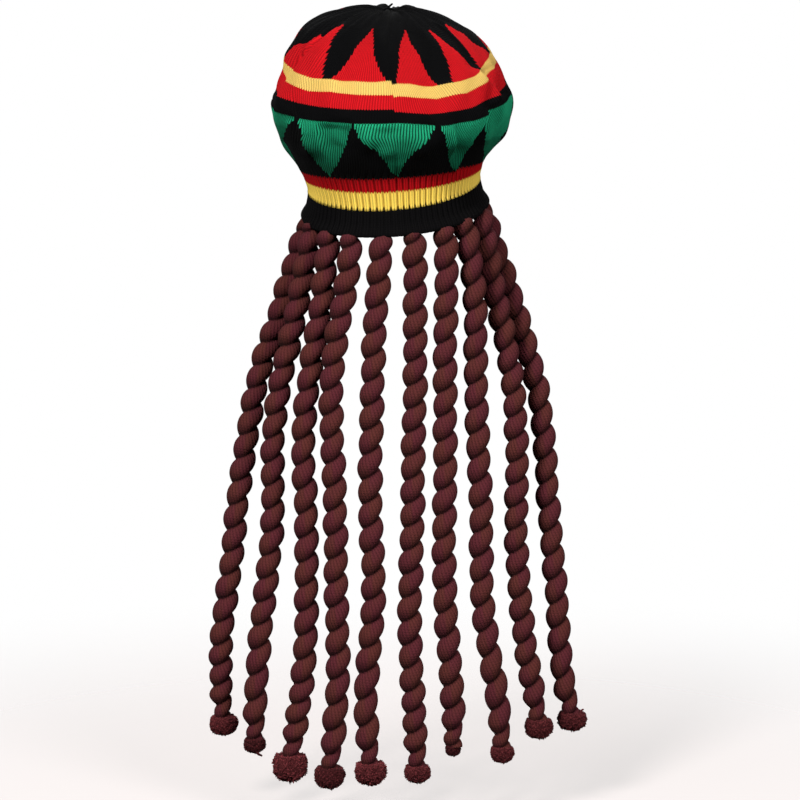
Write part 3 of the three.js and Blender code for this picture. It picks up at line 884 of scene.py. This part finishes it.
# The cut ends: number, highest place on the ball, depth of their roots, thickness and taper, then how
# far they go astray and how long they are, for a tight pompom and more for a shaggy one
PUFF_ENDS = 1300
HIGHEST_END = 0.93
ROOT_DEPTH = 1.2
END_THICK, END_TAPER = 0.7, 0.6
ASTRAY, ASTRAY_SHAG = 0.2, 0.25
END_LENGTHS = (0.4, 1.1)
LENGTH, LENGTH_SHAG = 0.7, 1.1
# One end as a prism: a direction that helps to turn its sides, and its faces by its six corners
END_AXIS = (0.3, 0.2, 1.0)
PRISM = np.array([(0, 1, 4), (0, 4, 3), (1, 2, 5), (1, 5, 4), (2, 0, 3), (2, 3, 5), (3, 4, 5), (2, 1, 0)])
# Painted shade on the ball under the cut ends and on the ends at their roots, and painted light at their
# tips; then the lightness of one end and another, of their tufts (with the tufts' turns across, along and
# up), and of a loose tail
BALL_SHADE, ROOT_SHADE, TIP_SHADE = 0.45, 0.5, 1.1
END_SHADES = (0.65, 1.3)
TUFT_SHADE = 0.45
TUFT_TURNS = (1.3, 1.1, 1.5)
TAIL_SHADE = 0.8
# Loose tails of yarn, as routes from the middle of their pompom
PUFF_TAILS = {
    2: [(2, -6, -5), (5, -7, -7.5), (7.5, -7, -8.5)],
    10: [(5, -3, 2), (7.5, -4, 8), (8.5, -4, 11), (10.5, -4, 12)],
}
PUFF_TAIL_THICK = 3.0


def strands(roots, ways, long):
    """Short cut ends of yarn as three-sided tapered prisms: points and faces."""
    side = unit(np.cross(ways, END_AXIS))
    ring = spokes(side, np.cross(ways, side), round_turns(3))
    low = roots[:, None] - ways[:, None] * ROOT_DEPTH + ring * END_THICK
    high = roots[:, None] + ways[:, None] * long[:, None, None] + ring * END_THICK * END_TAPER
    points = np.concatenate([low, high], 1).reshape(-1, 3)
    return points, (PRISM[None] + np.arange(len(roots))[:, None, None] * 6).reshape(-1, 3)


def ball_surface(number, wide, tall, height, turn):
    """Points of a pompom's ball, by their height and turn as angles."""
    lump = 1 + COARSE_LUMPS * np.sin(5 * turn + number) * np.sin(3 * height + 2 * turn + number)
    lump += FINE_LUMPS * np.sin(9 * turn + 2 * number) * np.cos(7 * height)
    dent = lerp(1, DENT, smoothstep(height, DENT_FROM, DENT_TO))
    out = wide / 2 * np.cos(height) ** SQUARENESS * lump
    up = tall / 2 * (STRETCH * np.sin(height) * lump * dent + RAISED)
    return np.stack([out * np.cos(turn), out * np.sin(turn), up], -1)


def cut_ends(number, wide, tall):
    """The cut ends of a pompom: their points and faces, and how light each corner of them is."""
    shag = SHAG[number - 1]
    up = random.uniform(-1, HIGHEST_END, PUFF_ENDS)
    spin = random.uniform(0, 2 * np.pi, PUFF_ENDS)
    roots = ball_surface(number, wide, tall, np.arcsin(up), spin)
    astray = random.normal(0, ASTRAY + ASTRAY_SHAG * shag, roots.shape)
    ways = unit(roots / (wide**2, wide**2, tall**2) * wide + astray)
    long = random.uniform(*END_LENGTHS, PUFF_ENDS) * (LENGTH + LENGTH_SHAG * shag)
    points, faces = strands(roots, ways, long)
    across, along, high = (roots * TUFT_TURNS).T
    tufts = 1 + TUFT_SHADE * np.sin(across + number) * np.sin(high + along)
    # Painted shade at each end's root and painted light at its tip
    tips = np.repeat([ROOT_SHADE, TIP_SHADE], 3)
    bright = (tufts * random.uniform(*END_SHADES, PUFF_ENDS))[:, None] * tips[None]
    return points, faces.tolist(), bright.ravel()[faces].ravel()


def build_puff(number, lock):
    """A pompom: a squat lumpy ball covered with cut ends of yarn, drawn in where it is tied."""
    wide, tall = (size - SHAG_ROOM * SHAG[number - 1] - END_ROOM for size in lock.ball)
    heights = np.linspace(-np.pi / 2, np.pi / 2, PUFF_TIERS + 2)[1:-1]
    height, turn = np.meshgrid(heights, round_turns(PUFF_ROUND), indexing="ij")
    ball = ball_surface(number, wide, tall, height, turn).reshape(-1, 3)
    points, faces = capped(ball, PUFF_ROUND, [(0, 0, tall * LOW_POLE), (0, 0, tall * HIGH_POLE)])
    # The ball under the ends gets painted shade
    shade = np.full(corner_count(faces), BALL_SHADE)
    end_points, end_faces, end_shade = cut_ends(number, wide, tall)
    points, faces = joined(points, faces, end_points, end_faces)
    shade = np.concatenate([shade, end_shade])
    if number in PUFF_TAILS:
        points, faces = joined(points, faces, *tube(PUFF_TAILS[number], PUFF_TAIL_THICK))
    plain = corner_count(faces) - len(shade)
    shade = np.concatenate([shade, np.full(plain, TAIL_SHADE)]) * PUFF_LIGHT[number - 1]
    points = points + (lock_route(lock)[-1] + (0, 0, -TIE_HEIGHT * lock.ball[1] / 2))
    name = f"{number:02d}"
    puff = mesh_piece(f"puff_{name}", points, faces, [f"pompom_{name}"], cut_yarn)
    corner_colours(puff, shade[:, None] * PUFF_COLOUR[None], CUT_CONTRAST)
    corner_stitches(puff, np.zeros((len(shade), 2)))
    return puff


for number, lock in enumerate(LOCKS, 1):
    twist, route, length = build_lock(number, lock)
    puff = build_puff(number, lock)
build_bag()
build_cuff()

# Stage, in metres: a pale floor that fades into the white round it, and soft light
FLOOR = -0.56
FLOOR_HALF = 3.0
FLOOR_COLOUR = (0.93, 0.8, 0.77, 1)
FLOOR_ROUGHNESS, FLOOR_GLOSS = 0.9, 0.1
FLOOR_ALPHA = 0.45
FADE_RADII = (0.2, 1.1)
# The lights: name, place, aim, size and watts
LIGHTS = [
    ("overhead", (-0.4, -0.7, 2.7), (0, 0, 0), 1.8, 8),
    ("front_left", (-1.3, -2.25, 1.55), (0, 0, -0.15), 0.9, 86),
    ("front_right", (1.7, -2.4, 1.1), (0, 0, -0.2), 1.6, 58),
    ("behind", (0.3, 2.6, 1.5), (0, 0, -0.1), 2.4, 50),
    ("bounce", (0, -0.4, -0.545), (0, -0.4, 1), 2.6, 0.6),
]


def floor_material():
    """Pale and matte, and less and less there with its distance from the middle."""
    material = bpy.data.materials.new("pale_floor")
    material.use_nodes = True
    tree = material.node_tree
    shader = tree.nodes["Principled BSDF"]
    shader.inputs["Base Color"].default_value = FLOOR_COLOUR
    shader.inputs["Roughness"].default_value = FLOOR_ROUGHNESS
    shader.inputs["Specular IOR Level"].default_value = FLOOR_GLOSS
    place = add_node(tree, "ShaderNodeTexCoord", {}).outputs["Object"]
    flat = add_node(tree, "ShaderNodeVectorMath", {0: place, 1: (1, 1, 0)}, operation="MULTIPLY").outputs[0]
    distance = add_node(tree, "ShaderNodeVectorMath", {0: flat}, operation="LENGTH").outputs["Value"]
    alpha = map_range(tree, distance, FADE_RADII, (FLOOR_ALPHA, 0), interpolation_type="SMOOTHSTEP")
    tree.links.new(alpha, shader.inputs["Alpha"])
    return material


def build_floor():
    mesh = bpy.data.meshes.new("studio_floor")
    sides = [(-1, -1), (1, -1), (1, 1), (-1, 1)]
    corners = [(across * FLOOR_HALF, along * FLOOR_HALF, FLOOR) for across, along in sides]
    mesh.from_pydata(corners, [], [(0, 1, 2, 3)])
    mesh.materials.append(floor_material())
    floor = bpy.data.objects.new("studio_floor", mesh)
    floor.visible_diffuse = False
    bpy.context.collection.objects.link(floor)


def soft_light(name, place, aim, size, power):
    data = bpy.data.lights.new(name, "AREA")
    data.shape = "DISK"
    data.size = size
    data.energy = power
    light = bpy.data.objects.new(name, data)
    light.location = place
    light.rotation_euler = (Vector(aim) - Vector(place)).to_track_quat("-Z", "Y").to_euler()
    light.visible_camera = False
    bpy.context.collection.objects.link(light)


build_floor()
for row in LIGHTS:
    soft_light(*row)
world = bpy.data.worlds.new("studio")
world.use_nodes = True
world.node_tree.nodes["Background"].inputs["Color"].default_value = (1, 1, 1, 1)
world.node_tree.nodes["Background"].inputs["Strength"].default_value = 1
world.cycles_visibility.diffuse = False
world.cycles_visibility.glossy = False
bpy.context.scene.world = world
bpy.context.scene.view_settings.view_transform = "Standard"
